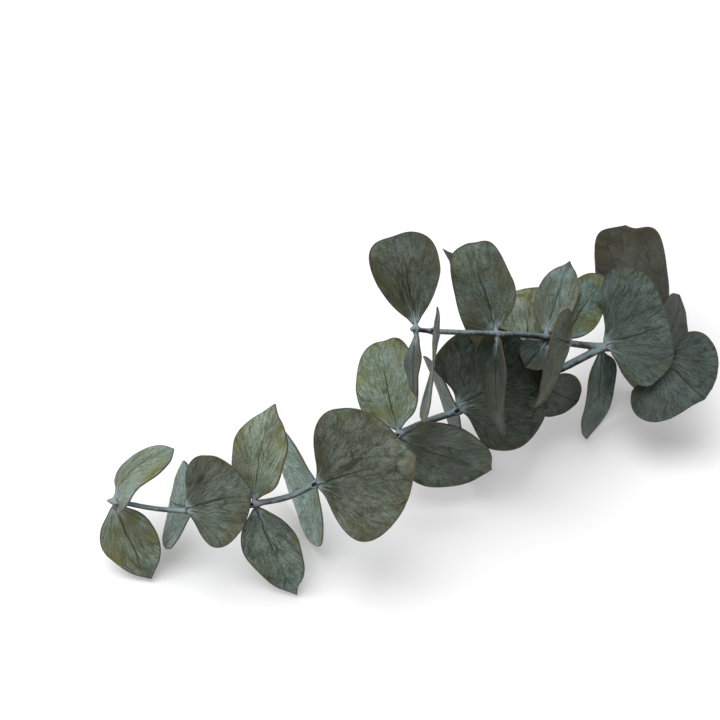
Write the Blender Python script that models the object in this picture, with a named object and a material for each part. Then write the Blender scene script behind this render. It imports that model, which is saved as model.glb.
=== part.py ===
"""A cut eucalyptus twig with round leaves in crossed pairs, lying on a flat surface.

Metres, +Z up. The origin is under the middle of the twig, on the surface it lies on.
"""

from math import copysign, cos, exp, pi, radians, sin, sqrt

import bmesh
import bpy
from mathutils import Matrix, Quaternion, Vector

MM = 0.001

# Where the stem forks, measured from the origin. The whole twig is laid out from here.
FORK = Vector((0.0695, 0.0185, 0.0337))

# Stems: round rods with swollen joints where the leaves sit. Diameters and lengths in millimetres.
STEM_SIDES_RESOLUTION = 2
CUT_END_DIAMETER = 3.4
FORK_DIAMETER = 3.0
LONG_TIP_DIAMETER = 1.7
SHORT_TIP_DIAMETER = 1.6
JOINT_SWELLING = 0.55
JOINT_HALF_LENGTH = 1.8
SHOULDER_LENGTH = 2.0
NECK_LENGTH = 4.8
SHORTEST_NECKED_RUN = 12.0
BUD_LENGTH = 3.0

# Each run of a stem between two leaf joints: length in millimetres, heading and climb in degrees.
# Heading turns from +X towards +Y, and climb is above the horizon.
MAIN_RUNS = ((13, -5, -4), (9, -4, -6), (14, -13, -12))
LONG_RUNS = (
    (31, -147, 0),
    (32, -152, 0),
    (24, -152, 0),
    (36, -143, -2),
    (22, -160, -5),
    (23, -179, -8),
    (27, 166, -6),
)
SHORT_RUNS = ((21, -152, 31), (10, -154, 36), (26, -149, 30), (27.5, -153, 26), (9, -147, 33))

# Leaves: thin waxy blades on very short stalks. Lengths in millimetres.
BLADE_THICKNESS = 0.7
CELLS_ALONG = 10
CELLS_ACROSS = 8
STALK_RISE = 0.75
STALK_LENGTH = 1.1
STALK_DIAMETER = 1.3
STALK_FOOT_DIAMETER = 1.95
STALK_ELBOW_DIAMETER = 1.63
STALK_GAP = 0.3
APEX_REACH = 0.22
APEX_NARROWNESS = 2.2
SQUARENESS = 5.0
MARGIN_WAVES = 1.3

# One row for each leaf: its joint, then where it points and how it is shaped.
# side: degrees round the stem from straight up. lean: degrees between the leaf and the stem's tip.
# turn: degrees the stalk twists the blade. bend: degrees the midrib droops from base to apex.
# cup: degrees each half rises from the midrib. twist: degrees the blade turns along its length.
# point: how sharp the apex is. widest: how far the widest part lies towards the base.
# lobe_left and lobe_right: how far each half reaches back round the stalk, in millimetres.
# square: how blunt the apex is. uneven: how much wider the leaf's left half is than its right.
LEAVES = {
    "leaf_long_1_up": (
        "long_1",
        dict(side=56, lean=110, turn=61, length=31, width=23, square=0.4, point=0, widest=0),
    ),
    "leaf_long_1_down": ("long_1", dict(side=-146, lean=141, turn=-60, length=17, width=19, point=0.1)),
    "leaf_long_2_front": (
        "long_2",
        dict(side=-3, lean=167, turn=42, length=33, width=45, bend=18, lobe_left=11, lobe_right=6),
    ),
    "leaf_long_2_back": ("long_2", dict(side=139, lean=105, turn=3, length=33, width=43)),
    "leaf_long_3_up": (
        "long_3",
        dict(side=48, lean=107, turn=24, length=30, width=30, point=0, square=0.2),
    ),
    "leaf_long_3_down": (
        "long_3",
        dict(side=-127, lean=137, turn=-35, length=32, width=29, lobe_left=5, lobe_right=5),
    ),
    "leaf_long_4_front": ("long_4", dict(side=-47, lean=130, turn=-11, length=36, width=45, bend=30)),
    "leaf_long_4_back": ("long_4", dict(side=140, lean=88, turn=4, length=30.4, width=48, uneven=-0.12)),
    "leaf_long_5_up": ("long_5", dict(side=45, lean=114, turn=41, length=28, width=28, point=0.5)),
    "leaf_long_5_down": ("long_5", dict(side=-148, lean=102, turn=-64, length=29.6, width=21, point=0.5)),
    "leaf_long_6_front": ("long_6", dict(side=-11, lean=155, turn=37, length=25, width=31)),
    "leaf_long_6_back": ("long_6", dict(side=130, lean=53, turn=14, length=19, width=31)),
    "leaf_long_7_up": (
        "long_7",
        dict(
            side=52, lean=136, turn=46, length=24, width=24,
            bend=55, lobe_left=4, lobe_right=6, uneven=-0.3,
        ),
    ),
    "leaf_long_7_down": ("long_7", dict(side=-152, lean=118, turn=-97, length=25, width=20)),
    "leaf_short_1_front": (
        "short_1",
        dict(side=-56, lean=31, turn=-6, length=31, width=36, bend=8, uneven=-0.4),
    ),
    "leaf_short_1_back": (
        "short_1",
        dict(side=52, lean=134, turn=77, length=34, width=16.5, uneven=0.06),
    ),
    "leaf_short_2_up": ("short_2", dict(side=42, lean=116, turn=34, length=26, width=15, point=0.5)),
    "leaf_short_2_down": ("short_2", dict(side=-148, lean=45, turn=-44, length=11, width=13)),
    "leaf_short_3_up": (
        "short_3",
        dict(side=44, lean=70, turn=40, length=29, width=21, square=0.5, lobe_left=14, point=0),
    ),
    "leaf_short_3_down": ("short_3", dict(side=-129, lean=84, turn=22, length=31, width=19)),
    "leaf_short_4_front": ("short_4", dict(side=-100, lean=56, turn=24, length=33, width=41, bend=8)),
    "leaf_short_5_up": (
        "short_5",
        dict(side=48, lean=83, turn=54, length=29, width=22.5, widest=-0.35, square=0.12, point=0),
    ),
    "leaf_short_5_down": ("short_5", dict(side=-140, lean=89, turn=24, length=18, width=12)),
    "leaf_fork_front": (
        "fork",
        dict(
            side=-14, lean=138, turn=30, length=22, width=44,
            bend=25, uneven=0.15, point=0, square=0.35,
        ),
    ),
    "leaf_fork_back": ("fork", dict(side=-158, lean=98, turn=-126, length=32, width=28)),
    "leaf_main_1_up": (
        "main_1",
        dict(side=73, lean=83, turn=79, length=50, width=27, point=0.15, square=0.6, widest=0),
    ),
    "leaf_main_1_down": ("main_1", dict(side=161, lean=100, turn=-39, length=28.5, width=24)),
    "leaf_main_2_front": (
        "main_2",
        dict(
            side=-94, lean=139, turn=-48, length=20, width=38,
            bend=20, lobe_left=5, lobe_right=5, uneven=-0.1,
        ),
    ),
    "leaf_main_2_back": ("main_2", dict(side=70, lean=97, turn=142, length=21.5, width=22)),
}
USUAL_LEAF = dict(
    bend=20, cup=8, twist=0, point=0.25, widest=0.15, wave=0.5,
    lobe_left=0, lobe_right=0, square=0, uneven=0,
)

# Colours, linear, for each kind of surface.
STEM_COLOUR = (0.16, 0.20, 0.20, 1.0)
LEAF_COLOUR = (0.085, 0.11, 0.075, 1.0)


def clear_scene():
    for obj in list(bpy.data.objects):
        bpy.data.objects.remove(obj, do_unlink=True)


def make_material(name, colour, roughness):
    material = bpy.data.materials.new(name)
    material.use_nodes = True
    shader = material.node_tree.nodes["Principled BSDF"]
    shader.inputs["Base Color"].default_value = colour
    shader.inputs["Roughness"].default_value = roughness
    shader.inputs["Metallic"].default_value = 0.0
    return material


def direction(heading, climb):
    return Vector(
        (
            cos(radians(climb)) * cos(radians(heading)),
            cos(radians(climb)) * sin(radians(heading)),
            sin(radians(climb)),
        )
    )


def walk(start, runs):
    """The joints reached from start, one for each run."""
    joints = [start]
    for length, heading, climb in runs:
        joints.append(joints[-1] + direction(heading, climb) * length * MM)
    return joints


def joint_tangents(joints):
    """The stem's direction at each joint, halfway between the runs that meet there."""
    last = len(joints) - 1
    return [
        (joints[min(i + 1, last)] - joints[max(i - 1, 0)]).normalized()
        for i in range(last + 1)
    ]


def lay_out_stems():
    """The stems as lists of joints, and each named joint with its place and tipward direction."""
    main = walk(FORK, MAIN_RUNS)
    long = walk(FORK, LONG_RUNS)
    short = walk(FORK, SHORT_RUNS)
    main_to_short = list(reversed(main)) + short[1:]
    tangents = joint_tangents(main_to_short)
    places = {}
    for i, joint in enumerate(main_to_short):
        steps = i - (len(main) - 1)
        name = f"main_{-steps}" if steps < 0 else f"short_{steps}" if steps > 0 else "fork"
        places[name] = (joint, tangents[i])
    for i, tangent in enumerate(joint_tangents([main[1]] + long)):
        if i > 1:
            places[f"long_{i - 1}"] = (long[i - 1], tangent)
    return main_to_short, long, places


def smooth_path(joints, first_diameter, last_diameter):
    """Points and radii along a stem: gentle curves through the joints, swollen at each one."""
    tangents = joint_tangents(joints)
    total = len(joints) - 1
    path = []
    for i in range(total):
        start, end = joints[i], joints[i + 1]
        span = (end - start).length
        near = SHOULDER_LENGTH * MM / span
        neck = NECK_LENGTH * MM / span
        shares = (0.0, near, neck, 0.5, 1.0 - neck, 1.0 - near)
        if span < SHORTEST_NECKED_RUN * MM:
            shares = (0.0, near, 0.5, 1.0 - near)
        for share in shares:
            a = start + tangents[i] * span * share
            b = end - tangents[i + 1] * span * (1.0 - share)
            ease = share * share * (3.0 - 2.0 * share)
            point = a.lerp(b, ease)
            along = (i + share) / total
            diameter = first_diameter + (last_diameter - first_diameter) * along
            reach = min(share, 1.0 - share) * span / (JOINT_HALF_LENGTH * MM)
            diameter += JOINT_SWELLING * exp(-reach * reach)
            path.append((point, diameter * MM / 2.0))
    path.append((joints[-1], (last_diameter + JOINT_SWELLING) * MM / 2.0))
    return path


def round_rod(name, path):
    """A round rod along a path, closed at both ends, as a mesh object."""
    curve = bpy.data.curves.new(name, "CURVE")
    curve.dimensions = "3D"
    curve.bevel_depth = 1.0
    curve.bevel_resolution = STEM_SIDES_RESOLUTION
    curve.use_fill_caps = True
    spline = curve.splines.new("POLY")
    spline.points.add(len(path) - 1)
    for point, (place, radius) in zip(spline.points, path):
        point.co = (*place, 1.0)
        point.radius = radius
    rod = bpy.data.objects.new(name, curve)
    bpy.context.scene.collection.objects.link(rod)
    bpy.context.view_layer.update()
    mesh = bpy.data.meshes.new_from_object(rod.evaluated_get(bpy.context.evaluated_depsgraph_get()))
    bpy.data.objects.remove(rod, do_unlink=True)
    return bpy.data.objects.new(name, mesh)


def leaf_frame(tangent, side, lean, turn):
    """Unit vectors along the leaf, across it, and out of its upper face, and the way off the stem."""
    up = (Vector((0.0, 0.0, 1.0)) - tangent * tangent.z).normalized()
    outward = up * cos(radians(side)) + tangent.cross(up) * sin(radians(side))
    along = tangent * cos(radians(lean)) + outward * sin(radians(lean))
    face = tangent * sin(radians(lean)) - outward * cos(radians(lean))
    face.rotate(Quaternion(along, radians(turn)))
    return along, face.cross(along), face, outward


def leaf_seat(joint, along, face, outward, bend):
    """The stalk's elbow, the point where the blade starts, and the way that the midrib sets off."""
    start = (along * cos(radians(bend / 2.0)) + face * sin(radians(bend / 2.0))).normalized()
    elbow = joint + outward * (CUT_END_DIAMETER / 2.0 + STALK_RISE) * MM
    return elbow, elbow + start * STALK_LENGTH * MM, start


def flat_leaf(u, v, shape):
    """A point of the flat leaf, along and across in metres, from a square's u and v in -1 to 1."""
    along = u * sqrt(1.0 - v * v / 2.0)
    across = v * sqrt(1.0 - u * u / 2.0)
    radius = sqrt(along * along + across * across)
    if radius > 0.0:
        power = 2.0 + SQUARENESS * shape["square"] * max(0.0, along / radius)
        blunt = ((abs(along) / radius) ** power + (abs(across) / radius) ** power) ** (-1.0 / power)
        along, across = along * blunt, across * blunt
    share = max(0.0, (1.0 + along) / 2.0)
    apex = share**3 * max(0.0, 1.0 - APEX_NARROWNESS * abs(across)) ** 2
    length = shape["length"] * MM * (share + APEX_REACH * shape["point"] * apex)
    lobe = shape["lobe_left"] if across > 0.0 else shape["lobe_right"]
    length -= lobe * MM * (1.0 - share) ** 2 * min(1.0, 2.0 * across * across)
    fullness = 1.0 - shape["widest"] * along + shape["uneven"] * copysign(1.0, across)
    return length, shape["width"] * MM / 2.0 * across * fullness


def bent_leaf(along, across, shape):
    """The same point on the drooped, cupped and waved blade: along, across and out of its face."""
    share = along / (shape["length"] * MM)
    edge = across / (shape["width"] * MM / 2.0)
    cup = radians(shape["cup"]) or 1e-6
    cup_radius = shape["width"] * MM / 2.0 / cup
    side = cup_radius * sin(cup * edge)
    lift = cup_radius * (1.0 - cos(cup * edge))
    lift += shape["wave"] * MM * edge * edge * sin(2.0 * pi * (MARGIN_WAVES * share + 0.25 * edge))
    spin = radians(shape["twist"]) * share
    width = side * cos(spin) - lift * sin(spin)
    out = side * sin(spin) + lift * cos(spin)
    bend = radians(shape["bend"]) or 1e-6
    arc = shape["length"] * MM * (bend / 2.0) / sin(bend / 2.0) / bend
    angle = bend * share
    length = arc * sin(angle) + out * sin(angle)
    rise = -arc * (1.0 - cos(angle)) + out * cos(angle)
    tilt = bend / 2.0
    return Vector((length * cos(tilt) - rise * sin(tilt), width, length * sin(tilt) + rise * cos(tilt)))


def leaf_object(name, joint, tangent, shape):
    """A leaf blade of even thickness, seated at the end of its stalk."""
    along, across, face, outward = leaf_frame(tangent, shape["side"], shape["lean"], shape["turn"])
    _, seat, _ = leaf_seat(joint, along, face, outward, shape["bend"])
    place = Matrix((along, across, face)).transposed()
    mesh = bmesh.new()
    bmesh.ops.create_grid(mesh, x_segments=CELLS_ALONG, y_segments=CELLS_ACROSS, size=1.0)
    for vert in mesh.verts:
        vert.co = (*flat_leaf(vert.co.x, vert.co.y, shape), 0.0)
    bmesh.ops.triangulate(mesh, faces=mesh.faces, quad_method="SHORT_EDGE")
    for vert in mesh.verts:
        vert.co = seat + place @ bent_leaf(vert.co.x, vert.co.y, shape)
    mesh.normal_update()
    bmesh.ops.solidify(mesh, geom=mesh.faces, thickness=BLADE_THICKNESS * MM)
    bmesh.ops.triangulate(mesh, faces=mesh.faces)
    data = bpy.data.meshes.new(name)
    mesh.to_mesh(data)
    mesh.free()
    leaf = bpy.data.objects.new(name, data)
    bpy.context.scene.collection.objects.link(leaf)
    leaf.data.materials.append(make_material(name, LEAF_COLOUR, 0.62))
    leaf.data.shade_smooth()
    leaf.data.set_sharp_from_angle(angle=radians(50))
    return leaf


def stalk_rod(name, joint, tangent, shape):
    """A leaf's short stalk, from the middle of the stem to just short of the blade."""
    along, _, face, outward = leaf_frame(tangent, shape["side"], shape["lean"], shape["turn"])
    elbow, seat, start = leaf_seat(joint, along, face, outward, shape["bend"])
    end = seat - start * STALK_GAP * MM
    radius = STALK_DIAMETER * MM / 2.0
    path = [
        (joint, STALK_FOOT_DIAMETER * MM / 2.0),
        (elbow.lerp(joint, 0.15), STALK_ELBOW_DIAMETER * MM / 2.0),
        (elbow.lerp(end, 0.5), radius),
        (end, radius),
    ]
    return round_rod(name, path)


def bud_rod(name, joint, tangent, diameter):
    """The small closed bud that ends a twig."""
    radius = diameter * MM / 2.0
    length = BUD_LENGTH * MM
    steps = ((-0.2, 0.8), (0.3, 1.0), (0.7, 0.75), (1.0, 0.25))
    return round_rod(name, [(joint + tangent * length * a, radius * b) for a, b in steps])


def woody_stem(main_to_short, long, places, leaves):
    """The cut stem with its fork, both twigs, leaf stalks and end buds, joined into one piece."""
    stem = round_rod("stem", smooth_path(main_to_short, CUT_END_DIAMETER, SHORT_TIP_DIAMETER))
    rods = [round_rod("long_twig", smooth_path(long, FORK_DIAMETER, LONG_TIP_DIAMETER))]
    for name, (joint, shape) in leaves.items():
        rods.append(stalk_rod(f"stalk_{name}", *places[joint], shape))
    rods.append(bud_rod("long_bud", *places["long_7"], LONG_TIP_DIAMETER))
    rods.append(bud_rod("short_bud", *places["short_5"], SHORT_TIP_DIAMETER))
    joined = bpy.data.collections.new("joined")
    bpy.context.scene.collection.children.link(joined)
    for rod in rods:
        joined.objects.link(rod)
    bpy.context.scene.collection.objects.link(stem)
    union = stem.modifiers.new("join", "BOOLEAN")
    union.operation = "UNION"
    union.operand_type = "COLLECTION"
    union.collection = joined
    union.solver = "EXACT"
    bpy.context.view_layer.update()
    mesh = bpy.data.meshes.new_from_object(stem.evaluated_get(bpy.context.evaluated_depsgraph_get()))
    stem.modifiers.clear()
    stem.data = mesh
    for rod in rods:
        bpy.data.objects.remove(rod, do_unlink=True)
    bpy.data.collections.remove(joined)
    stem.data.materials.clear()
    stem.data.materials.append(make_material("stem", STEM_COLOUR, 0.7))
    stem.data.shade_smooth()
    stem.data.set_sharp_from_angle(angle=radians(50))
    return stem


def main():
    clear_scene()
    main_to_short, long, places = lay_out_stems()
    leaves = {name: (joint, {**USUAL_LEAF, **shape}) for name, (joint, shape) in LEAVES.items()}
    woody_stem(main_to_short, long, places, leaves)
    for name, (joint, shape) in leaves.items():
        leaf_object(name, *places[joint], shape)


main()
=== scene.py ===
"""The looks of a preserved eucalyptus branch: one forked woody stem and 29 round waxy leaves."""

from math import atan2, copysign, cos, exp, pi, radians, sin, sqrt

import bmesh
import bpy
from mathutils import Matrix, Quaternion, Vector, noise


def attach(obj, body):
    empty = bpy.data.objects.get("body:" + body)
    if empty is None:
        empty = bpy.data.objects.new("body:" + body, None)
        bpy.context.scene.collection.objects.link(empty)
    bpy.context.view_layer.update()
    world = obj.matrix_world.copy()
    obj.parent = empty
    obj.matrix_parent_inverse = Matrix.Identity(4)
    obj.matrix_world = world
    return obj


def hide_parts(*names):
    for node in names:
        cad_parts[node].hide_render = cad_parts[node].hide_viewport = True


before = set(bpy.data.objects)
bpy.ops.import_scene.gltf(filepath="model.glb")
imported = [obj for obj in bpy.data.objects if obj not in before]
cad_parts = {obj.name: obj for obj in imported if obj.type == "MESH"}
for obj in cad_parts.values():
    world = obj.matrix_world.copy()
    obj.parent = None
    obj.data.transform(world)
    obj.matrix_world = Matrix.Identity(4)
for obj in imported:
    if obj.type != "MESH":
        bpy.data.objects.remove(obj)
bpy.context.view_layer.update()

# The photo's place: a plain pale surface under soft studio light, seen from in front and above.
# The surface is a wide sheet that the branch lies on. It is not part of the branch.
VIEW_CENTRE = Vector((-0.0199, 0.0148, 0.0307))
VIEW_DISTANCE = 0.624
VIEW_CLIMB = radians(45)
ROOM_WHITE = (1.0, 1.0, 1.0, 1.0)
ROOM_LIGHT = 0.62
SURFACE_SIDE = 6.0
SURFACE_PALE = (0.86, 0.86, 0.86, 1.0)

bpy.context.scene.view_settings.view_transform = "Standard"


def put_in_scene(name, data):
    """A new object at the origin that shows the data."""
    made = bpy.data.objects.new(name, data)
    bpy.context.scene.collection.objects.link(made)
    return made


def soft_light(name, place, side, power, aim):
    """A square studio light that faces the point it aims at."""
    data = bpy.data.lights.new(name, "AREA")
    data.shape = "SQUARE"
    data.size = side
    data.energy = power
    light = put_in_scene(name, data)
    light.location = place
    light.rotation_euler = (Vector(aim) - Vector(place)).to_track_quat("-Z", "Y").to_euler()


def finished_mesh(name, shape):
    """A mesh of a shape made with bmesh, which is then let go."""
    data = bpy.data.meshes.new(name)
    shape.to_mesh(data)
    shape.free()
    return data


def new_finish(name, roughness, gloss):
    """A new material with its shader's plain values set."""
    finish = bpy.data.materials.new(name)
    finish.use_nodes = True
    shader = finish.node_tree.nodes["Principled BSDF"]
    shader.inputs["Roughness"].default_value = roughness
    shader.inputs["Specular IOR Level"].default_value = gloss
    return finish, finish.node_tree, shader


camera_data = bpy.data.cameras.new("camera")
camera_data.lens = 85.0
camera_data.sensor_width = 36.0
camera_data.clip_start = 0.01
camera = put_in_scene("camera", camera_data)
toward_viewer = Vector((0.0, -cos(VIEW_CLIMB), sin(VIEW_CLIMB)))
camera.location = VIEW_CENTRE + toward_viewer * VIEW_DISTANCE
camera.rotation_euler = (pi / 2.0 - VIEW_CLIMB, 0.0, 0.0)
bpy.context.scene.camera = camera

soft_light("light_above", place=(-0.25, 0.10, 1.10), side=1.0, power=11.0, aim=(0.0, 0.0, 0.0))
soft_light("light_front", place=(-0.55, -1.10, 0.75), side=0.9, power=5.0, aim=(0.0, 0.0, 0.03))

world = bpy.data.worlds.new("pale_room")
world.use_nodes = True
world.node_tree.nodes["Background"].inputs["Color"].default_value = ROOM_WHITE
world.node_tree.nodes["Background"].inputs["Strength"].default_value = ROOM_LIGHT
bpy.context.scene.world = world

sheet = bmesh.new()
bmesh.ops.create_grid(sheet, x_segments=1, y_segments=1, size=SURFACE_SIDE / 2.0)
surface = put_in_scene("surface", finished_mesh("surface", sheet))
surface_finish, _, surface_shader = new_finish("pale_surface", roughness=0.9, gloss=0.1)
surface_shader.inputs["Base Color"].default_value = SURFACE_PALE
surface.data.materials.append(surface_finish)

# The woody stem: a cut shoot that forks into a long and a short twig, with its leaf stalks.
# Young bark with a pale blue-grey wax bloom, swollen where the leaves sit, brown where it is rubbed.
# The bloom is also painted thicker on upward faces, a painted light that leaves each twig's underside
# painted dark.
# It is one grown piece, so its rods are melted into one skin. Its sizes are in millimetres.
MM = 0.001
FORK = Vector((0.0695, 0.0185, 0.0337))  # metres
CUT_END_DIAMETER = 3.4
FORK_DIAMETER = 3.0
LONG_TIP_DIAMETER = 1.7
SHORT_TIP_DIAMETER = 1.6
JOINT_SWELLING = 0.75
JOINT_HALF_LENGTH = 1.6
STEM_UNEVENNESS = 0.12
LUMPS_PER_METRE = 160.0
STEPS_IN_RUN = 16
SKIN_CELL = 0.26
# The runs from joint to joint: length, then heading and climb in degrees.
MAIN_RUNS = ((13, -5, -4), (9, -4, -6), (14, -13, -12))
LONG_RUNS = (
    (31, -147, 0),
    (32, -152, 0),
    (24, -152, 0),
    (36, -143, -2),
    (22, -160, -5),
    (23, -179, -8),
    (27, 166, -6),
)
SHORT_RUNS = ((21, -152, 31), (10, -154, 36), (26, -149, 30), (27.5, -153, 26), (9, -147, 33))


def direction(heading, climb):
    """The unit vector with this heading and climb in degrees."""
    level = cos(radians(climb))
    return Vector((level * cos(radians(heading)), level * sin(radians(heading)), sin(radians(climb))))


def walk(start, runs):
    """The leaf joints reached from start, one at the end of each run."""
    joints = [start]
    for length, heading, climb in runs:
        joints.append(joints[-1] + direction(heading, climb) * length * MM)
    return joints


def joint_tangents(joints):
    """The stem's direction at each joint, halfway between the runs that meet there."""
    last = len(joints) - 1
    return [
        (joints[min(i + 1, last)] - joints[max(i - 1, 0)]).normalized() for i in range(last + 1)
    ]


main_axis = walk(FORK, MAIN_RUNS)
long_axis = walk(FORK, LONG_RUNS)
short_axis = walk(FORK, SHORT_RUNS)
through_axis = list(reversed(main_axis)) + short_axis[1:]

joint_places = {}
for i, tangent in enumerate(joint_tangents(through_axis)):
    steps = i - len(MAIN_RUNS)
    joint_name = f"main_{-steps}" if steps < 0 else f"short_{steps}" if steps > 0 else "fork"
    joint_places[joint_name] = (through_axis[i], tangent)
for i, tangent in enumerate(joint_tangents([main_axis[1]] + long_axis)[2:], start=1):
    joint_places[f"long_{i}"] = (long_axis[i], tangent)


def stem_path(joints, first_diameter, last_diameter):
    """Points and radii along a stem: gentle curves through the joints, swollen at each one."""
    tangents = joint_tangents(joints)
    runs = len(joints) - 1
    path = []
    for i in range(runs):
        span = (joints[i + 1] - joints[i]).length
        for step in range(STEPS_IN_RUN):
            share = step / STEPS_IN_RUN
            from_start = joints[i] + tangents[i] * span * share
            from_end = joints[i + 1] - tangents[i + 1] * span * (1.0 - share)
            point = from_start.lerp(from_end, share * share * (3.0 - 2.0 * share))
            diameter = first_diameter + (last_diameter - first_diameter) * (i + share) / runs
            reach = min(share, 1.0 - share) * span / (JOINT_HALF_LENGTH * MM)
            diameter += JOINT_SWELLING * exp(-reach * reach)
            diameter += STEM_UNEVENNESS * noise.noise(point * LUMPS_PER_METRE)
            path.append((point, diameter * MM / 2.0))
    path.append((joints[-1], (last_diameter + JOINT_SWELLING) * MM / 2.0))
    return path


def add_rod(skin, path):
    """Adds a round rod along a path, closed at both ends, to the stem's mesh."""
    curve = bpy.data.curves.new("rod", "CURVE")
    curve.dimensions = "3D"
    curve.bevel_depth = 1.0
    curve.bevel_resolution = 5
    curve.use_fill_caps = True
    spline = curve.splines.new("POLY")
    spline.points.add(len(path) - 1)
    for point, (place, radius) in zip(spline.points, path):
        point.co = (*place, 1.0)
        point.radius = radius
    rod = put_in_scene("rod", curve)
    bpy.context.view_layer.update()
    rod_mesh = bpy.data.meshes.new_from_object(
        rod.evaluated_get(bpy.context.evaluated_depsgraph_get())
    )
    skin.from_mesh(rod_mesh)
    bpy.data.objects.remove(rod, do_unlink=True)
    bpy.data.meshes.remove(rod_mesh)


# Each leaf: its joint, its finish, its painted light and how yellow it is, then its place and shape.
# The painted light is a brightness factor that makes the leaf's colour lighter or darker for the light
# and shade on it.
# side: degrees round the stem from straight up. lean: degrees between the leaf and the stem's tip.
# turn: degrees the stalk twists the blade. bend: degrees the midrib droops from base to apex.
# point and square: how pointed or how blunt the apex is. widest: above 0, fuller near the base.
# uneven: above 0, fuller on the left. lobe_left, lobe_right and tail: how far these reach.
USUAL_LEAF = dict(
    bend=20, point=0.25, widest=0.15, lobe_left=0, lobe_right=0, square=0, uneven=0, tail=0
)
LEAVES = {
    "leaf_long_1_up": (
        "long_1", "olive", 1.90, 0.92,
        dict(side=56, lean=110, turn=61, length=31, width=23, square=0.4, point=0, widest=0),
    ),
    "leaf_long_1_down": (
        "long_1", "blue_green", 0.38, 1.00,
        dict(side=-146, lean=141, turn=-60, length=17, width=19, point=0.1),
    ),
    "leaf_long_2_front": (
        "long_2", "dark_green", 0.70, 1.02,
        dict(side=-3, lean=167, turn=42, length=33, width=45, bend=18, lobe_left=11, lobe_right=6),
    ),
    "leaf_long_2_back": (
        "long_2", "blue_green", 1.20, 1.00,
        dict(side=139, lean=105, turn=3, length=33, width=43),
    ),
    "leaf_long_3_up": (
        "long_3", "olive", 1.98, 0.91,
        dict(side=48, lean=107, turn=24, length=30, width=30, point=0, square=0.2),
    ),
    "leaf_long_3_down": (
        "long_3", "dark_green", 1.30, 1.00,
        dict(side=-127, lean=137, turn=-35, length=32, width=29, lobe_left=5, lobe_right=5),
    ),
    "leaf_long_4_front": (
        "long_4", "blue_green", 0.80, 1.10,
        dict(side=-47, lean=130, turn=-11, length=36, width=45, bend=30),
    ),
    "leaf_long_4_back": (
        "long_4", "blue_green", 3.90, 0.95,
        dict(side=140, lean=88, turn=4, length=30.4, width=48, uneven=-0.12),
    ),
    "leaf_long_5_up": (
        "long_5", "olive", 1.50, 0.98,
        dict(side=45, lean=114, turn=41, length=28, width=28, point=0.5),
    ),
    "leaf_long_5_down": (
        "long_5", "dark_green", 1.65, 0.98,
        dict(side=-148, lean=102, turn=-64, length=29.6, width=21, point=0.5),
    ),
    "leaf_long_6_front": (
        "long_6", "blue_green", 0.72, 1.07,
        dict(side=-11, lean=155, turn=37, length=25, width=31),
    ),
    "leaf_long_6_back": (
        "long_6", "blue_green", 2.05, 0.94,
        dict(side=130, lean=53, turn=14, length=19, width=31),
    ),
    "leaf_long_7_up": (
        "long_7", "olive", 1.45, 0.88,
        dict(
            side=52, lean=136, turn=46, length=24, width=24,
            bend=55, lobe_left=4, lobe_right=6, uneven=-0.3,
        ),
    ),
    "leaf_long_7_down": (
        "long_7", "olive", 0.90, 0.96,
        dict(side=-152, lean=118, turn=-97, length=25, width=20),
    ),
    "leaf_short_1_front": (
        "short_1", "olive", 0.61, 1.00,
        dict(side=-56, lean=31, turn=-6, length=31, width=36, bend=8, uneven=-0.4),
    ),
    "leaf_short_1_back": (
        "short_1", "olive", 1.35, 0.82,
        dict(side=52, lean=134, turn=77, length=34, width=16.5, uneven=0.06),
    ),
    "leaf_short_2_up": (
        "short_2", "blue_green", 1.18, 0.95,
        dict(side=42, lean=116, turn=34, length=26, width=15, point=0.5),
    ),
    "leaf_short_2_down": (
        "short_2", "blue_green", 0.70, 0.93,
        dict(side=-148, lean=45, turn=-44, length=11, width=13),
    ),
    "leaf_short_3_up": (
        "short_3", "dark_green", 1.40, 1.02,
        dict(
            side=44, lean=70, turn=40, length=29, width=21,
            square=0.5, lobe_left=14, point=0, tail=4.2,
        ),
    ),
    "leaf_short_3_down": (
        "short_3", "dark_green", 0.93, 1.00,
        dict(side=-129, lean=84, turn=22, length=31, width=19),
    ),
    "leaf_short_4_front": (
        "short_4", "blue_green", 1.32, 1.00,
        dict(side=-100, lean=56, turn=24, length=33, width=41, bend=8),
    ),
    "leaf_short_5_up": (
        "short_5", "olive", 0.57, 0.93,
        dict(side=48, lean=83, turn=54, length=29, width=22.5, widest=-0.35, square=0.12, point=0),
    ),
    "leaf_short_5_down": (
        "short_5", "dark_green", 1.12, 0.94,
        dict(side=-140, lean=89, turn=24, length=18, width=12),
    ),
    "leaf_fork_front": (
        "fork", "blue_green", 0.66, 0.96,
        dict(
            side=-14, lean=138, turn=30, length=22, width=44,
            bend=25, uneven=0.15, point=0, square=0.35,
        ),
    ),
    "leaf_fork_back": (
        "fork", "blue_green", 0.96, 0.96,
        dict(side=-158, lean=98, turn=-126, length=32, width=28),
    ),
    "leaf_main_1_up": (
        "main_1", "olive", 0.245, 1.13,
        dict(side=73, lean=83, turn=79, length=50, width=27, point=0.15, square=0.6, widest=0),
    ),
    "leaf_main_1_down": (
        "main_1", "dark_green", 0.80, 1.00,
        dict(side=161, lean=100, turn=-39, length=28.5, width=24),
    ),
    "leaf_main_2_front": (
        "main_2", "blue_green", 0.52, 0.96,
        dict(
            side=-94, lean=139, turn=-48, length=20, width=38,
            bend=20, lobe_left=5, lobe_right=5, uneven=-0.1,
        ),
    ),
    "leaf_main_2_back": (
        "main_2", "blue_green", 0.42, 1.00,
        dict(side=70, lean=97, turn=142, length=21.5, width=22),
    ),
}
LEAVES = {name: (*row[:4], {**USUAL_LEAF, **row[4]}) for name, row in LEAVES.items()}

STALK_RISE = 0.75
STALK_LENGTH = 1.1
STALK_UNDERLAP = 3.4
STALK_DROP = 0.25
STALK_RADII = (1.2, 0.8, 0.65, 0.5, 0.25)
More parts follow.
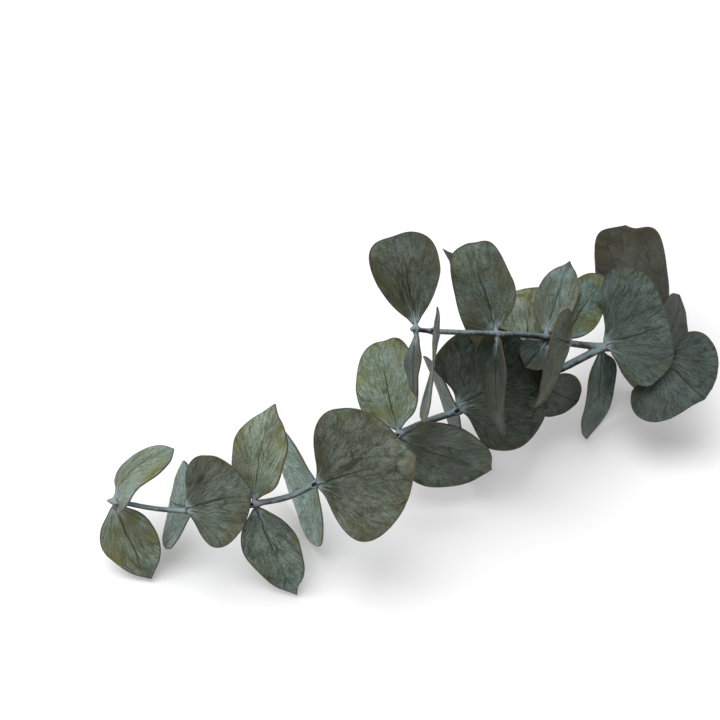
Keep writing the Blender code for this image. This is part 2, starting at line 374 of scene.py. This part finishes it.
# An end bud's profile: how far past the joint, and its radius as a share of the twig's.
BUD_PROFILE = ((-0.4, 0.8), (0.6, 1.15), (1.5, 1.2), (2.3, 0.8), (3.0, 0.2))


def leaf_frame(tangent, shape):
    """Unit vectors along the leaf, across it and out of its upper face, and the way off the stem."""
    side, lean = radians(shape["side"]), radians(shape["lean"])
    up = (Vector((0.0, 0.0, 1.0)) - tangent * tangent.z).normalized()
    outward = up * cos(side) + tangent.cross(up) * sin(side)
    along = tangent * cos(lean) + outward * sin(lean)
    face = tangent * sin(lean) - outward * cos(lean)
    face.rotate(Quaternion(along, radians(shape["turn"])))
    return along, face.cross(along), face, outward


def leaf_seat(joint, along, face, outward, shape):
    """The stalk's elbow, the point where the blade starts, and the way that the midrib sets off."""
    half_bend = radians(shape["bend"] / 2.0)
    start = (along * cos(half_bend) + face * sin(half_bend)).normalized()
    elbow = joint + outward * (CUT_END_DIAMETER / 2.0 + STALK_RISE) * MM
    return elbow, elbow + start * STALK_LENGTH * MM, start


stem_skin = bmesh.new()
add_rod(stem_skin, stem_path(through_axis, CUT_END_DIAMETER, SHORT_TIP_DIAMETER))
add_rod(stem_skin, stem_path(long_axis, FORK_DIAMETER, LONG_TIP_DIAMETER))
for joint_name, _, _, _, shape in LEAVES.values():
    joint, tangent = joint_places[joint_name]
    along, _, face, outward = leaf_frame(tangent, shape)
    elbow, seat, start = leaf_seat(joint, along, face, outward, shape)
    under = -face * STALK_DROP * MM
    stalk = (
        joint,
        elbow.lerp(joint, 0.25),
        elbow.lerp(seat, 0.5) + under,
        seat + under,
        seat + start * STALK_UNDERLAP * MM + 2.0 * under,
    )
    add_rod(stem_skin, [(point, radius * MM) for point, radius in zip(stalk, STALK_RADII)])
for joint_name, diameter in (("long_7", LONG_TIP_DIAMETER), ("short_5", SHORT_TIP_DIAMETER)):
    joint, tangent = joint_places[joint_name]
    add_rod(
        stem_skin,
        [(joint + tangent * past * MM, full * diameter * MM / 2.0) for past, full in BUD_PROFILE],
    )

stem = put_in_scene("stem_bark", finished_mesh("stem_rods", stem_skin))
melt = stem.modifiers.new("melt", "REMESH")
melt.mode = "VOXEL"
melt.voxel_size = SKIN_CELL * MM
melt.use_smooth_shade = True
even = stem.modifiers.new("even", "SMOOTH")
even.factor = 0.5
even.iterations = 4
bpy.context.view_layer.update()
stem.data = bpy.data.meshes.new_from_object(stem.evaluated_get(bpy.context.evaluated_depsgraph_get()))
stem.modifiers.clear()

# Dark round scars where side shoots were trimmed off, beside some of the joints, and how large.
SCARS = (
    ("long_4", 1.0),
    ("long_2", 1.0),
    ("short_4", 0.9),
    ("long_5", 0.8),
    ("long_3", 0.7),
    ("short_1", 0.7),
)
SCAR_RADIUS = 0.95
SCAR_DEPTH = 0.5
SCAR_RIM_HEIGHT = 0.2
SCAR_FROM_AXIS = 1.45
SCAR_PAST_JOINT = 1.5
JOINT_WAX_REACH = 3.2
JOINT_RING_RADIUS = 1.3
JOINT_RING_WIDTH = 0.35
JOINT_RING_HEIGHT = 0.06
CUT_FACE_DEPTH = 0.2
BARK_GRAIN = 0.05
GRAINS_PER_METRE = 900.0

scar_places = []
for joint_name, size in SCARS:
    joint, tangent = joint_places[joint_name]
    outward = (toward_viewer - tangent * toward_viewer.dot(tangent)).normalized()
    scar_places.append(
        (joint + outward * SCAR_FROM_AXIS * MM + tangent * SCAR_PAST_JOINT * MM, size)
    )
cut_place = main_axis[-1]
cut_facing = (main_axis[-1] - main_axis[-2]).normalized()

scar_mark = stem.data.attributes.new("scar", "FLOAT", "POINT")
joint_mark = stem.data.attributes.new("joint", "FLOAT", "POINT")
cut_mark = stem.data.attributes.new("cut", "FLOAT", "POINT")
stem_normals = [vert.normal.copy() for vert in stem.data.vertices]
for vert, normal in zip(stem.data.vertices, stem_normals):
    place = vert.co.copy()
    past_cut = (place - cut_place).dot(cut_facing)
    cut_mark.data[vert.index].value = float(past_cut > -CUT_FACE_DEPTH * MM)
    nearest = min((place - joint).length for joint, _ in joint_places.values())
    joint_mark.data[vert.index].value = exp(-((nearest / (JOINT_WAX_REACH * MM)) ** 2))
    lift = BARK_GRAIN * noise.fractal(place * GRAINS_PER_METRE, 0.8, 2.0, 3)
    ring = exp(-(((nearest - JOINT_RING_RADIUS * MM) / (JOINT_RING_WIDTH * MM)) ** 2))
    lift += JOINT_RING_HEIGHT * ring
    for centre, size in scar_places:
        away = (place - centre).length / (SCAR_RADIUS * size * MM)
        if away < 2.0:
            dip = exp(-(away**4))
            scar_mark.data[vert.index].value = max(scar_mark.data[vert.index].value, dip)
            lift += SCAR_RIM_HEIGHT * exp(-(((away - 1.25) / 0.3) ** 2)) - SCAR_DEPTH * dip
    vert.co = place + normal * lift * MM


def add_node(tree, kind, inputs=None, **settings):
    """Adds a node, sets its options, and links or sets its inputs. Returns its outputs."""
    made = tree.nodes.new(kind)
    for key, value in settings.items():
        setattr(made, key, value)
    for key, value in (inputs or {}).items():
        if isinstance(value, bpy.types.NodeSocket):
            tree.links.new(value, made.inputs[key])
        else:
            made.inputs[key].default_value = value
    return made.outputs


def maths(tree, operation, *values):
    """One sum or product of the material's numbers."""
    return add_node(tree, "ShaderNodeMath", dict(enumerate(values)), operation=operation)[0]


def weighted_sum(tree, *parts):
    """Several of the material's numbers added up, each times its weight."""
    total = None
    for value, weight in parts:
        part = maths(tree, "MULTIPLY", value, weight)
        total = part if total is None else maths(tree, "ADD", total, part)
    return total


def fade(tree, value, low, high, start=0.0, end=1.0):
    """Start where the value is at or below low, end at or above high, and smooth between."""
    inputs = {"Value": value, "From Min": low, "From Max": high, "To Min": start, "To Max": end}
    return add_node(tree, "ShaderNodeMapRange", inputs, interpolation_type="SMOOTHSTEP")["Result"]


def blend_colours(tree, share, first, second, way="MIX"):
    """Two colours mixed, each a socket or a plain colour."""
    inputs = {"Factor": share, 6: first, 7: second}
    return add_node(tree, "ShaderNodeMix", inputs, data_type="RGBA", blend_type=way)[2]


def add_bump(tree, shader, height, distance):
    """Fine relief on the shader, in metres, from one of the material's numbers."""
    inputs = {"Height": height, "Strength": 0.5, "Distance": distance}
    tree.links.new(add_node(tree, "ShaderNodeBump", inputs)["Normal"], shader.inputs["Normal"])


BARK_GREEN = (0.022, 0.029, 0.032, 1.0)
BARK_BROWN = (0.060, 0.044, 0.034, 1.0)
WAX_BLOOM = (0.205, 0.260, 0.280, 1.0)
SCAR_BLACK = (0.008, 0.006, 0.006, 1.0)
CUT_WOOD = (0.480, 0.390, 0.250, 1.0)

bark, tree, shader = new_finish("waxy_bark", roughness=0.6, gloss=0.25)
place = add_node(tree, "ShaderNodeTexCoord")["Object"]
speckle = add_node(
    tree, "ShaderNodeTexNoise", {"Vector": place, "Scale": 900.0, "Detail": 5.0, "Roughness": 0.65}
)["Fac"]
patches = add_node(
    tree, "ShaderNodeTexNoise", {"Vector": place, "Scale": 230.0, "Detail": 3.0}
)["Fac"]
# Painted light: faces that point up get more of the pale bloom, so each twig is painted lighter on top
# and darker underneath.
surface_way = add_node(tree, "ShaderNodeNewGeometry")["Normal"]
painted_top_light = add_node(tree, "ShaderNodeSeparateXYZ", {"Vector": surface_way})["Z"]
joint_share = add_node(tree, "ShaderNodeAttribute", attribute_name="joint")["Fac"]
scar_share = add_node(tree, "ShaderNodeAttribute", attribute_name="scar")["Fac"]
cut_share = add_node(tree, "ShaderNodeAttribute", attribute_name="cut")["Fac"]
wax_and_painted_top_light = weighted_sum(tree, (speckle, 0.55), (patches, 0.55), (painted_top_light, 0.42), (joint_share, 0.12))
bare = blend_colours(tree, fade(tree, patches, 0.42, 0.62), BARK_GREEN, BARK_BROWN)
colour = blend_colours(tree, fade(tree, wax_and_painted_top_light, 0.62, 1.00), bare, WAX_BLOOM)
colour = blend_colours(tree, fade(tree, scar_share, 0.35, 0.6), colour, SCAR_BLACK)
colour = blend_colours(tree, cut_share, colour, CUT_WOOD)
tree.links.new(colour, shader.inputs["Base Color"])
add_bump(tree, shader, speckle, 0.00012)
stem.data.materials.clear()
stem.data.materials.append(bark)
stem.data.shade_smooth()
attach(stem, "root")
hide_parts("stem")

# The leaves: thin round waxy blades in crossed pairs, each grown on a very short stalk.
# The upper face is green under a mottled blue-grey bloom, which the fine veins cut through in dark
# lines that fan out from the base. The base is almost white, and the margin a thin brown line.
BLADE_THICKNESS = 0.5
GRID_CELL = 0.62
LOWEST_POINT = 0.1
APEX_REACH = 0.22
APEX_NARROWNESS = 2.2
SQUARENESS = 5.0
FOOT_REACH = 2.3
FOOT_HALF_WIDTH = 3.2
TAIL_CORNER = pi / 4.0
TAIL_SPREAD = 0.06
TAIL_SHARPNESS = 150
OUTLINE_RIPPLE = 0.05
RIPPLE_COUNT = 1.1
CUP = radians(8)
MARGIN_WAVE = 0.5
MARGIN_WAVE_COUNT = 1.3
RIB_DEPTH = 0.26
RIB_HALF_WIDTH = 0.5
RIB_LENGTH = 30.0
RIB_SHOULDER_PLACE = 1.6
RIB_SHOULDER_WIDTH = 1.1
PUCKER = 0.08
PUCKER_SPACING = 4.4
PUCKER_SLANT = 0.75
COCKLE = 0.6
FINE_RELIEF = 0.05


def flat_leaf(u, v, shape):
    """A point of the flat leaf, along and across in metres, from a square's u and v in -1 to 1."""
    along = u * sqrt(1.0 - v * v / 2.0)
    across = v * sqrt(1.0 - u * u / 2.0)
    radius = sqrt(along * along + across * across)
    if radius > 0.0:
        power = 2.0 + SQUARENESS * shape["square"] * max(0.0, along / radius)
        blunt = ((abs(along) / radius) ** power + (abs(across) / radius) ** power) ** (-1.0 / power)
        along, across = along * blunt, across * blunt
    share = max(0.0, (1.0 + along) / 2.0)
    apex = share**3 * max(0.0, 1.0 - APEX_NARROWNESS * abs(across)) ** 2
    length = shape["length"] * MM * (share + APEX_REACH * shape["point"] * apex)
    lobe = shape["lobe_left"] if across > 0.0 else shape["lobe_right"]
    length -= lobe * MM * (1.0 - share) ** 2 * min(1.0, 2.0 * across * across)
    foot = across * shape["width"] / 2.0 / FOOT_HALF_WIDTH
    length -= FOOT_REACH * MM * max(0.0, 1.0 - 4.0 * share) ** 2 * exp(-foot * foot)
    fullness = 1.0 - shape["widest"] * along + shape["uneven"] * copysign(1.0, across)
    off_corner = (atan2(across, along) - TAIL_CORNER) / TAIL_SPREAD
    tail = shape["tail"] * MM * radius**TAIL_SHARPNESS * exp(-off_corner * off_corner)
    return length + tail, shape["width"] * MM / 2.0 * across * fullness + 0.5 * tail


def bent_leaf(along, across, lift, shape):
    """The same point on the drooped, cupped and waved blade: along, across and out of its face."""
    share = along / (shape["length"] * MM)
    edge = across / (shape["width"] * MM / 2.0)
    cup_radius = shape["width"] * MM / 2.0 / CUP
    side = cup_radius * sin(CUP * edge)
    lift += cup_radius * (1.0 - cos(CUP * edge))
    wave = sin(2.0 * pi * (MARGIN_WAVE_COUNT * share + 0.25 * edge))
    lift += MARGIN_WAVE * MM * edge * edge * wave
    bend = radians(shape["bend"])
    tilt = bend / 2.0
    arc = shape["length"] * MM * tilt / sin(tilt) / bend
    angle = bend * share
    length = arc * sin(angle) + lift * sin(angle)
    rise = -arc * (1.0 - cos(angle)) + lift * cos(angle)
    return Vector((length * cos(tilt) - rise * sin(tilt), side, length * sin(tilt) + rise * cos(tilt)))


def blade_relief(along, across, margin, number):
    """How far the blade's surface stands out: midrib groove, puckers between veins and cockling."""
    x, y = along / MM, across / MM
    fading = max(0.0, 1.0 - x / RIB_LENGTH)
    groove = -RIB_DEPTH * exp(-((y / RIB_HALF_WIDTH) ** 2)) * fading
    off_shoulder = (abs(y) - RIB_SHOULDER_PLACE) / RIB_SHOULDER_WIDTH
    shoulder = 0.5 * RIB_DEPTH * exp(-(off_shoulder**2)) * fading
    drift = 2.2 * noise.noise(Vector((x * 0.09, y * 0.09, number * 3.7)))
    fan = (x - PUCKER_SLANT * abs(y)) / PUCKER_SPACING + drift
    pucker = PUCKER * sin(2.0 * pi * fan) * min(1.0, abs(y) / 5.0) * min(1.0, margin / 2.5)
    cockle = COCKLE * noise.noise(Vector((x * 0.085, y * 0.085, number * 5.1 + 2.0)))
    fine = FINE_RELIEF * noise.fractal(Vector((x * 0.45, y * 0.45, number * 1.3)), 0.9, 2.0, 3)
    return (groove + shoulder + pucker + cockle * min(1.0, x / 8.0) + fine) * MM


FINISHES = {
    "blue_green": dict(
        green=(0.038, 0.054, 0.028, 1.0),
        bloom=(0.146, 0.189, 0.176, 1.0),
        patch=(0.078, 0.076, 0.028, 1.0),
        patchy=0.55,
    ),
    "olive": dict(
        green=(0.050, 0.062, 0.018, 1.0),
        bloom=(0.174, 0.203, 0.172, 1.0),
        patch=(0.105, 0.094, 0.028, 1.0),
        patchy=0.85,
    ),
    "dark_green": dict(
        green=(0.021, 0.029, 0.013, 1.0),
        bloom=(0.095, 0.123, 0.106, 1.0),
        patch=(0.048, 0.044, 0.018, 1.0),
        patchy=0.6,
    ),
}
BASE_WHITE = (0.250, 0.320, 0.330, 1.0)
MARGIN_PURPLE = (0.040, 0.028, 0.034, 1.0)
MARGIN_OCHRE = (0.075, 0.052, 0.020, 1.0)
VEIN_TO_GREEN = 0.42
FAN_CENTRE = 3.0
# How finely each fanned pattern repeats: round the base for each radian, outwards for each mm.
VEINS = (5.5, 0.055)
VEINLETS = (17.0, 0.22)
GRAIN = (22.0, 0.30)
RAYS = (8.0, 0.05)
# How far each marking hides what is under it, from 0 to 1.
VEIN_COVER = 0.8
VEINLET_COVER = 0.42
RIB_COVER = 0.9
RAY_COVER = 0.45
COLLAR_COVER = 0.8
MARGIN_COVER = 0.75


def leaf_finish(name, green, bloom, patch, patchy, yellowness_and_painted_light, number):
    """Waxy leaf skin: mottled bloom, dark fanned veins, olive patches, pale base, brown margin."""
    finish, tree, shader = new_finish(name, roughness=0.52, gloss=0.22)
    dark = tuple(VEIN_TO_GREEN * part for part in green[:3]) + (1.0,)
    blade = add_node(tree, "ShaderNodeUVMap", uv_map="blade")["UV"]
    axes = add_node(tree, "ShaderNodeSeparateXYZ", {"Vector": blade})

    def blotches(scale, detail, seed, output="Fac"):
        """Soft noise on the flat leaf, in blotches about one over scale millimetres wide."""
        inputs = {"Vector": blade, "W": number * 1.7 + seed, "Scale": scale, "Detail": detail}
        return add_node(tree, "ShaderNodeTexNoise", inputs, noise_dimensions="4D")[output]

    def off_centre(value, amount):
        """A noise value centred on nothing and scaled to the amount."""
        return maths(tree, "MULTIPLY", maths(tree, "SUBTRACT", value, 0.5), amount)

    sway = add_node(tree, "ShaderNodeSeparateXYZ", {"Vector": blotches(0.2, 2.0, 0.0, "Color")})
    along = maths(tree, "ADD", axes["X"], FAN_CENTRE)
    sideways = maths(tree, "ABSOLUTE", axes["Y"])
    far = maths(
        tree, "ADD", maths(tree, "MULTIPLY", along, along), maths(tree, "POWER", sideways, 2.0)
    )
    reach = maths(tree, "ADD", maths(tree, "SQRT", far), off_centre(sway["Y"], 2.0))
    angle = maths(tree, "ARCTAN2", axes["Y"], along)
    angle = maths(tree, "ADD", angle, off_centre(sway["X"], 0.16))

    def fanned(turns, steps):
        """Coordinates that spread from the leaf's base, so that a pattern runs along the veins."""
        spread = {
            "X": maths(tree, "MULTIPLY", angle, turns),
            "Y": maths(tree, "MULTIPLY", reach, steps),
            "Z": number * 4.1,
        }
        return add_node(tree, "ShaderNodeCombineXYZ", spread)["Vector"]

    def net(turns, steps):
        """How far a point is from the nearest line of a net of veins."""
        inputs = {"Vector": fanned(turns, steps), "Scale": 1.0}
        return add_node(tree, "ShaderNodeTexVoronoi", inputs, feature="DISTANCE_TO_EDGE")["Distance"]

    def streaks(turns, steps):
        """Noise drawn out along the veins."""
        inputs = {"Vector": fanned(turns, steps), "Scale": 1.0, "Detail": 4.0}
        return add_node(tree, "ShaderNodeTexNoise", inputs)["Fac"]

    veins, veinlets = net(*VEINS), net(*VEINLETS)
    grain, rays = streaks(*GRAIN), streaks(*RAYS)
    mottle = blotches(2.0, 6.0, 3.0)
    clouds = blotches(0.17, 2.0, 7.0)
    patches = blotches(0.10, 3.0, 11.0)
    shade = fade(tree, blotches(0.07, 1.0, 17.0), 0.36, 0.64, 1.14, 0.74)
    margin = add_node(tree, "ShaderNodeAttribute", attribute_name="margin")["Fac"]
    under = add_node(tree, "ShaderNodeAttribute", attribute_name="under")["Fac"]

    bloomed = weighted_sum(tree, (mottle, 0.46), (grain, 0.34), (clouds, 0.20), (under, 0.04))
    near_margin = fade(tree, margin, 1.0, 9.0, 1.0, 0.25)
    patch_share = fade(tree, patches, 0.42, 0.62, 0.0, patchy)
    patch_share = maths(tree, "MULTIPLY", patch_share, near_margin)
    colour = blend_colours(tree, fade(tree, bloomed, 0.40, 0.60, 0.12, 0.92), green, bloom)
    colour = blend_colours(tree, patch_share, colour, patch)
    broken = fade(tree, clouds, 0.30, 0.55, 1.0, 0.45)
    vein_share = fade(tree, veins, 0.010, 0.055, VEIN_COVER, 0.0)
    colour = blend_colours(tree, maths(tree, "MULTIPLY", vein_share, broken), colour, dark)
    veinlet_share = fade(tree, veinlets, 0.02, 0.14, VEINLET_COVER, 0.0)
    colour = blend_colours(tree, maths(tree, "MULTIPLY", veinlet_share, broken), colour, dark)
    off_rib = maths(tree, "ABSOLUTE", maths(tree, "ADD", axes["Y"], off_centre(sway["Z"], 2.2)))
    rib_share = fade(tree, off_rib, 0.14, 0.48, RIB_COVER, 0.0)
    rib_ends = fade(tree, axes["X"], 12.0, 27.0, 1.0, 0.0)
    colour = blend_colours(tree, maths(tree, "MULTIPLY", rib_share, rib_ends), colour, dark)
    colour = blend_colours(tree, 1.0, colour, shade, way="MULTIPLY")
    # Painted light: this multiply makes each leaf's whole colour lighter or darker for the light and
    # shade on that leaf, and tints it yellower or bluer.
    colour = blend_colours(tree, 1.0, colour, yellowness_and_painted_light, way="MULTIPLY")
    rays_end = fade(tree, reach, 4.0, 9.0, RAY_COVER, 0.0)
    ray_share = maths(tree, "MULTIPLY", fade(tree, rays, 0.50, 0.62), rays_end)
    colour = blend_colours(tree, ray_share, colour, BASE_WHITE)
    collar = maths(tree, "ADD", reach, maths(tree, "MULTIPLY", grain, 4.0))
    colour = blend_colours(tree, fade(tree, collar, 4.0, 6.8, COLLAR_COVER, 0.0), colour, BASE_WHITE)
    edge_tone = blend_colours(tree, fade(tree, patches, 0.45, 0.58), MARGIN_PURPLE, MARGIN_OCHRE)
    colour = blend_colours(tree, fade(tree, margin, 0.10, 0.60, MARGIN_COVER, 0.0), colour, edge_tone)
    tree.links.new(colour, shader.inputs["Base Color"])

    relief = maths(tree, "MULTIPLY", bloomed, 0.5)
    relief = maths(tree, "ADD", relief, fade(tree, veins, 0.0, 0.10, 0.0, 0.6))
    relief = maths(tree, "ADD", relief, fade(tree, veinlets, 0.0, 0.15, 0.0, 0.25))
    add_bump(tree, shader, relief, 0.00018)
    tree.links.new(fade(tree, bloomed, 0.40, 0.60, 0.44, 0.64), shader.inputs["Roughness"])
    return finish


def waxy_leaf(name, number, joint, tangent, finish, shape):
    """One leaf blade as a piece of its own, seated at the end of its stalk."""
    along_axis, across_axis, face, outward = leaf_frame(tangent, shape)
    _, seat, _ = leaf_seat(joint, along_axis, face, outward, shape)
    turn = Matrix((along_axis, across_axis, face)).transposed()
    half = shape["width"] / 2.0
    blade = bmesh.new()
    bmesh.ops.create_grid(
        blade,
        x_segments=round(shape["length"] / GRID_CELL),
        y_segments=round(shape["width"] / GRID_CELL),
        size=1.0,
    )
    margin_layer = blade.verts.layers.float.new("margin")
    under_layer = blade.verts.layers.float.new("under")
    uv_layer = blade.loops.layers.uv.new("blade")
    flat = {}
    for vert in blade.verts:
        u, v = vert.co.x, vert.co.y
        disc = sqrt(max(0.0, u * u + v * v - u * u * v * v))
        vert[margin_layer] = (1.0 - disc) * half
        round_way = Vector((u, v, 0.0)).normalized() * RIPPLE_COUNT
        swell = noise.noise(round_way + Vector((0.0, 0.0, number * 2.9)))
        ripple = 1.0 + OUTLINE_RIPPLE * disc * swell
        flat[vert] = tuple(ripple * part for part in flat_leaf(u, v, shape))
    for face_of_blade in blade.faces:
        for loop in face_of_blade.loops:
            along, across = flat[loop.vert]
            loop[uv_layer].uv = (along / MM, across / MM)
    for vert in blade.verts:
        along, across = flat[vert]
        lift = blade_relief(along, across, vert[margin_layer], number)
        vert.co = seat + turn @ bent_leaf(along, across, lift, shape)
    blade.normal_update()
    upper = set(blade.verts)
    bmesh.ops.solidify(blade, geom=blade.faces, thickness=BLADE_THICKNESS * MM)
    for vert in blade.verts:
        vert.co.z = max(vert.co.z, LOWEST_POINT * MM)
        if vert not in upper:
            vert[under_layer] = 1.0
    leaf = put_in_scene(name, finished_mesh(name, blade))
    leaf.data.materials.append(finish)
    leaf.data.shade_smooth()
    leaf.data.set_sharp_from_angle(angle=radians(60))
    return leaf


for number, (name, (joint_name, kind, light, warm, shape)) in enumerate(LEAVES.items()):
    # The light value is painted light: it makes the whole leaf lighter or darker for the light and
    # shade that falls on it.
    yellowness_and_painted_light = (light * warm, light, light / warm, 1.0)
    finish = leaf_finish(f"wax_{name}", **FINISHES[kind], yellowness_and_painted_light=yellowness_and_painted_light, number=number)
    leaf = waxy_leaf(
        name.replace("leaf_", "blade_"), number, *joint_places[joint_name], finish, shape
    )
    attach(leaf, "root")
    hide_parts(name)
